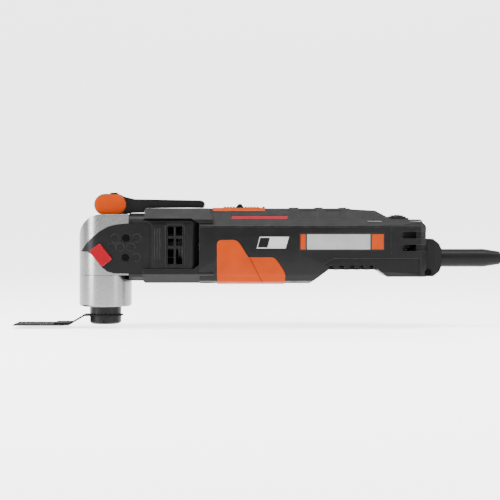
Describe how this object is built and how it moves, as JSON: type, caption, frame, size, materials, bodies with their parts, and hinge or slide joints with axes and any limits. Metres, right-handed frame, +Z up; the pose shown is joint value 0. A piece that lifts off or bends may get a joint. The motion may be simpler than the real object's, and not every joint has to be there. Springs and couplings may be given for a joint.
{
  "type": "oscillating multi tool",
  "caption": "Hand-held oscillating power tool with quick-release clamp lever, cranked scraper blade, slide switch, speed dial and mains lead",
  "frame": {"origin": "spindle axis at the blade seat, the lower face of the tool flange", "axes": "+Z up along the spindle axis, +X along the motor axis towards the mains lead, +Y to the tool's right"},
  "size_m": [0.583, 0.0848, 0.1058],
  "materials": {
    "silver_casting": "satin bead-blasted",
    "black_shell": "fine texture",
    "dark_shell": "fine texture",
    "orange_rubber": "satin soft-touch",
    "red_plastic": "satin",
    "steel": "turned",
    "dark_steel": "blackened",
    "black_rubber": "matt",
    "copper": "enamelled copper",
    "carbon": "sintered graphite",
    "board_green": "solder mask",
    "plate_silver": "printed film",
    "core_steel": "stacked laminations"
  },
  "bodies": {
    "housing": {"gear_head": "silver_casting", "spindle_housing": "silver_casting", "side_plate_left": "black_shell", "side_plate_right": "black_shell", "plate_screws": "steel", "button_springs": "steel", "spindle_bearings": "steel", "spindle_seal": "black_rubber", "motor_bearings": "steel", "bearing_bracket": "silver_casting", "fan_shroud": "black_shell", "stator_core": "core_steel", "field_coils": "copper", "brush_holders": "black_shell", "carbon_brushes": "carbon", "brush_springs": "copper", "front_housing": "black_shell", "upper_rail": "black_shell", "lower_rail": "black_shell", "vent_grilles": "black_shell", "left_housing": "dark_shell", "right_housing": "dark_shell", "top_cover": "dark_shell", "rear_cover": "dark_shell", "housing_screws": "steel", "grip_left": "orange_rubber", "grip_right": "orange_rubber", "switch_bezel": "orange_rubber", "switch_unit": "black_shell", "speed_board": "board_green", "name_plates": "plate_silver", "badges": "plate_silver", "cord_clamp": "black_shell", "cord_boot": "black_rubber", "cord": "black_rubber", "cord_hank": "black_rubber", "hank_tie": "black_rubber", "plug": "black_rubber", "plug_pins": "steel"},
    "armature": {"armature_shaft": "steel", "armature_core": "core_steel", "armature_windings": "copper", "commutator": "copper", "cooling_fan": "black_shell", "eccentric_bearing": "steel"},
    "spindle": {"spindle": "steel", "drive_fork": "steel", "tool_flange": "dark_steel", "clamp_spring": "steel"},
    "clamp": {"clamp_rod": "steel", "clamp_washer": "dark_steel", "blade": "dark_steel"},
    "lever": {"clamp_lever": "black_shell", "lever_inserts": "orange_rubber", "lever_pin": "steel"},
    "slider": {"switch_slider": "black_shell"},
    "dial": {"speed_dial": "black_shell"},
    "button_left": {"button_left": "red_plastic"},
    "button_right": {"button_right": "red_plastic"}
  },
  "joints": [
    {"name": "armature_spin", "type": "hinge", "parent": "housing", "child": "armature", "pos_m": [0.1, 0, 0.055], "axis": [1, 0, 0], "continuous": true},
    {"name": "spindle_oscillate", "type": "hinge", "parent": "housing", "child": "spindle", "pos_m": [0, 0, 0], "axis": [0, 0, 1], "range_deg": [-1.6, 1.6]},
    {"name": "lever_swing", "type": "hinge", "parent": "housing", "child": "lever", "pos_m": [0, 0, 0.0886], "axis": [0, -1, 0], "range_deg": [0, 165]},
    {"name": "clamp_drop", "type": "slide", "parent": "spindle", "child": "clamp", "axis": [0, 0, -1], "range_m": [0, 0.0026]},
    {"name": "switch_slide", "type": "slide", "parent": "housing", "child": "slider", "axis": [-1, 0, 0], "range_m": [0, 0.0036]},
    {"name": "dial_turn", "type": "hinge", "parent": "housing", "child": "dial", "pos_m": [0.2342, 0, 0.0647], "axis": [0, 1, 0], "range_deg": [-135, 135]},
    {"name": "button_press_left", "type": "slide", "parent": "housing", "child": "button_left", "axis": [0, 1, 0], "range_m": [0, 0.0015], "stiffness_N_per_m": 1500, "springref_m": -0.0006},
    {"name": "button_press_right", "type": "slide", "parent": "housing", "child": "button_right", "axis": [0, -1, 0], "range_m": [0, 0.0015], "stiffness_N_per_m": 1500, "springref_m": -0.0006}
  ],
  "couplings": [
    {"joint": "clamp_drop", "follows": "lever_swing", "m_per_rad": 0.00083339}
  ]
}
